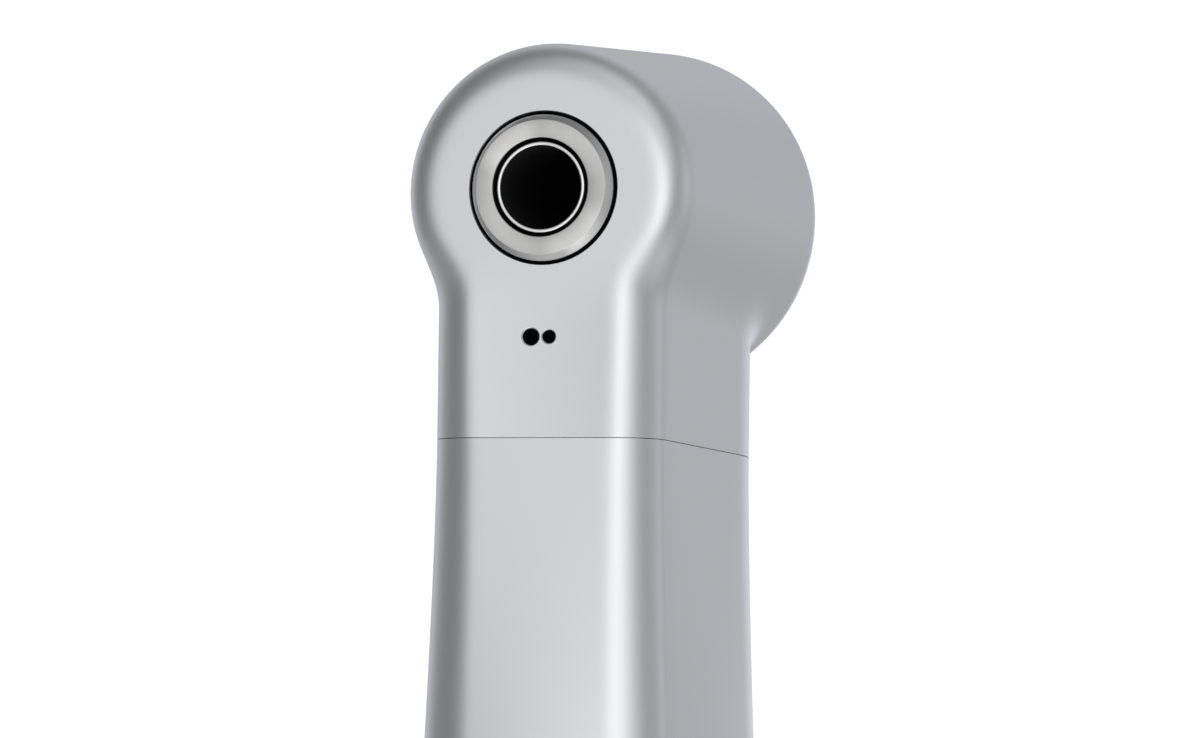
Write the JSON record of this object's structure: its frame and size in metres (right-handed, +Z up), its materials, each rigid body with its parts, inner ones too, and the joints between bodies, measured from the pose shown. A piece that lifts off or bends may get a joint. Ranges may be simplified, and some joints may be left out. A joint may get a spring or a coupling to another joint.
{
  "type": "cordless endodontic motor handpiece",
  "caption": "Cordless dental handpiece with a display handle, a swivelling contra-angle neck and a push-button chuck head.",
  "frame": {"origin": "centre of the end cap's flat face, on the motor's axis", "axes": "+Z up the handle, -Y towards the side the chuck looks to, +Y towards the display"},
  "size_m": [0.027, 0.031, 0.1934],
  "materials": {
    "satin_silver": "satin, finely blasted",
    "nickel": "nickel plated, turned",
    "steel": "ground steel",
    "brass": "plain",
    "copper": "enamelled copper winding",
    "white_plastic": "moulded, semi-gloss",
    "grey_plastic": "moulded, fine texture",
    "black_plastic": "moulded",
    "dark_window": "polished, tinted",
    "black_rubber": "plain",
    "board": "solder mask",
    "magnet": "sintered",
    "cell_wrap": "shrink sleeve"
  },
  "bodies": {
    "handle": {"display_casing": "white_plastic", "back_casing": "white_plastic", "battery_cover": "grey_plastic", "cover_screw": "steel", "end_cap": "grey_plastic", "charging_contact_left": "brass", "charging_contact_right": "brass", "battery_cell": "cell_wrap", "battery_contact_lower": "brass", "battery_contact_upper": "brass", "circuit_board": "board", "display_module": "black_plastic", "display_window": "dark_window", "key_dome_sheet": "grey_plastic", "start_switch": "black_plastic", "motor_can": "steel", "motor_magnet_ring": "magnet", "motor_end_bell": "black_plastic", "motor_bulkhead": "grey_plastic", "coupling_spigot": "steel", "collar_ring": "satin_silver", "o_ring_lower": "black_rubber", "o_ring_upper": "black_rubber"},
    "contra_angle": {"rear_sleeve": "satin_silver", "ring_gear": "steel", "drive_shaft_bush": "brass", "neck_sheath": "satin_silver", "neck_bush_lower": "brass", "neck_bush_upper": "brass", "head_housing": "satin_silver", "chuck_guard_ring": "nickel", "front_bearing_outer_race": "steel", "rear_bearing_outer_race": "steel", "button_spring": "steel", "button_retainer_ring": "satin_silver"},
    "motor_drive": {"motor_rotor": "copper", "input_shaft": "steel", "sun_gear": "brass"},
    "carrier_drive": {"planet_carrier": "steel", "drive_shaft": "steel", "drive_bend_gear": "steel"},
    "planet_1": {"planet_gear_1": "brass"},
    "planet_2": {"planet_gear_2": "brass"},
    "planet_3": {"planet_gear_3": "brass"},
    "neck_drive": {"neck_bend_gear": "steel", "neck_shaft": "steel", "neck_pinion": "steel"},
    "chuck": {"chuck_spindle": "steel", "chuck_gear": "steel", "chuck_latch": "steel", "front_bearing_inner_race": "steel", "rear_bearing_inner_race": "steel"},
    "front_cage": {"front_bearing_ball_cage": "steel"},
    "rear_cage": {"rear_bearing_ball_cage": "steel"},
    "chuck_button": {"chuck_release_button": "satin_silver"},
    "start_key": {"start_button": "grey_plastic"},
    "set_key_body": {"set_key": "grey_plastic"},
    "minus_key_body": {"minus_key": "grey_plastic"},
    "plus_key_body": {"plus_key": "grey_plastic"}
  },
  "joints": [
    {"name": "contra_angle_swivel", "type": "hinge", "parent": "handle", "child": "contra_angle", "pos_m": [0, 0, 0.129], "axis": [0, 0, 1], "continuous": true},
    {"name": "motor_spin", "type": "hinge", "parent": "contra_angle", "child": "motor_drive", "pos_m": [0, 0, 0.12], "axis": [0, 0, 1], "continuous": true},
    {"name": "carrier_spin", "type": "hinge", "parent": "contra_angle", "child": "carrier_drive", "pos_m": [0, 0, 0.145], "axis": [0, 0, 1], "continuous": true},
    {"name": "planet_1_spin", "type": "hinge", "parent": "carrier_drive", "child": "planet_1", "pos_m": [0, 0.003, 0.1434], "axis": [0, 0, 1], "continuous": true},
    {"name": "planet_2_spin", "type": "hinge", "parent": "carrier_drive", "child": "planet_2", "pos_m": [-0.0026, -0.0015, 0.1434], "axis": [0, 0, 1], "continuous": true},
    {"name": "planet_3_spin", "type": "hinge", "parent": "carrier_drive", "child": "planet_3", "pos_m": [0.0026, -0.0015, 0.1434], "axis": [0, 0, 1], "continuous": true},
    {"name": "neck_spin", "type": "hinge", "parent": "contra_angle", "child": "neck_drive", "pos_m": [0, 0, 0.15551], "axis": [0, 0.2756, 0.9613], "continuous": true},
    {"name": "chuck_spin", "type": "hinge", "parent": "contra_angle", "child": "chuck", "pos_m": [0, 0.00937, 0.18819], "axis": [0, 0.9613, -0.2756], "continuous": true},
    {"name": "front_cage_spin", "type": "hinge", "parent": "contra_angle", "child": "front_cage", "pos_m": [0, 0.00937, 0.18819], "axis": [0, 0.9613, -0.2756], "continuous": true},
    {"name": "rear_cage_spin", "type": "hinge", "parent": "contra_angle", "child": "rear_cage", "pos_m": [0, 0.00937, 0.18819], "axis": [0, 0.9613, -0.2756], "continuous": true},
    {"name": "chuck_button_press", "type": "slide", "parent": "contra_angle", "child": "chuck_button", "axis": [0, -0.9613, 0.2756], "range_m": [0, 0.0005], "stiffness_N_per_m": 4000, "springref_m": -0.0005, "deforming": ["button_spring"]},
    {"name": "start_button_press", "type": "slide", "parent": "handle", "child": "start_key", "axis": [0, -1, 0], "range_m": [0, 0.0006], "stiffness_N_per_m": 1500, "springref_m": -0.0004},
    {"name": "set_key_press", "type": "slide", "parent": "handle", "child": "set_key_body", "axis": [0, -1, 0], "range_m": [0, 0.0004], "stiffness_N_per_m": 1500, "springref_m": -0.0004},
    {"name": "minus_key_press", "type": "slide", "parent": "handle", "child": "minus_key_body", "axis": [0, -1, 0], "range_m": [0, 0.0004], "stiffness_N_per_m": 1500, "springref_m": -0.0004},
    {"name": "plus_key_press", "type": "slide", "parent": "handle", "child": "plus_key_body", "axis": [0, -1, 0], "range_m": [0, 0.0004], "stiffness_N_per_m": 1500, "springref_m": -0.0004}
  ],
  "couplings": [
    {"joint": "carrier_spin", "follows": "motor_spin", "ratio": 0.25},
    {"joint": "planet_1_spin", "follows": "motor_spin", "ratio": -0.75},
    {"joint": "planet_2_spin", "follows": "motor_spin", "ratio": -0.75},
    {"joint": "planet_3_spin", "follows": "motor_spin", "ratio": -0.75},
    {"joint": "neck_spin", "follows": "motor_spin", "ratio": 0.25},
    {"joint": "chuck_spin", "follows": "motor_spin", "ratio": -0.125},
    {"joint": "front_cage_spin", "follows": "motor_spin", "ratio": -0.052261},
    {"joint": "rear_cage_spin", "follows": "motor_spin", "ratio": -0.052261}
  ]
}
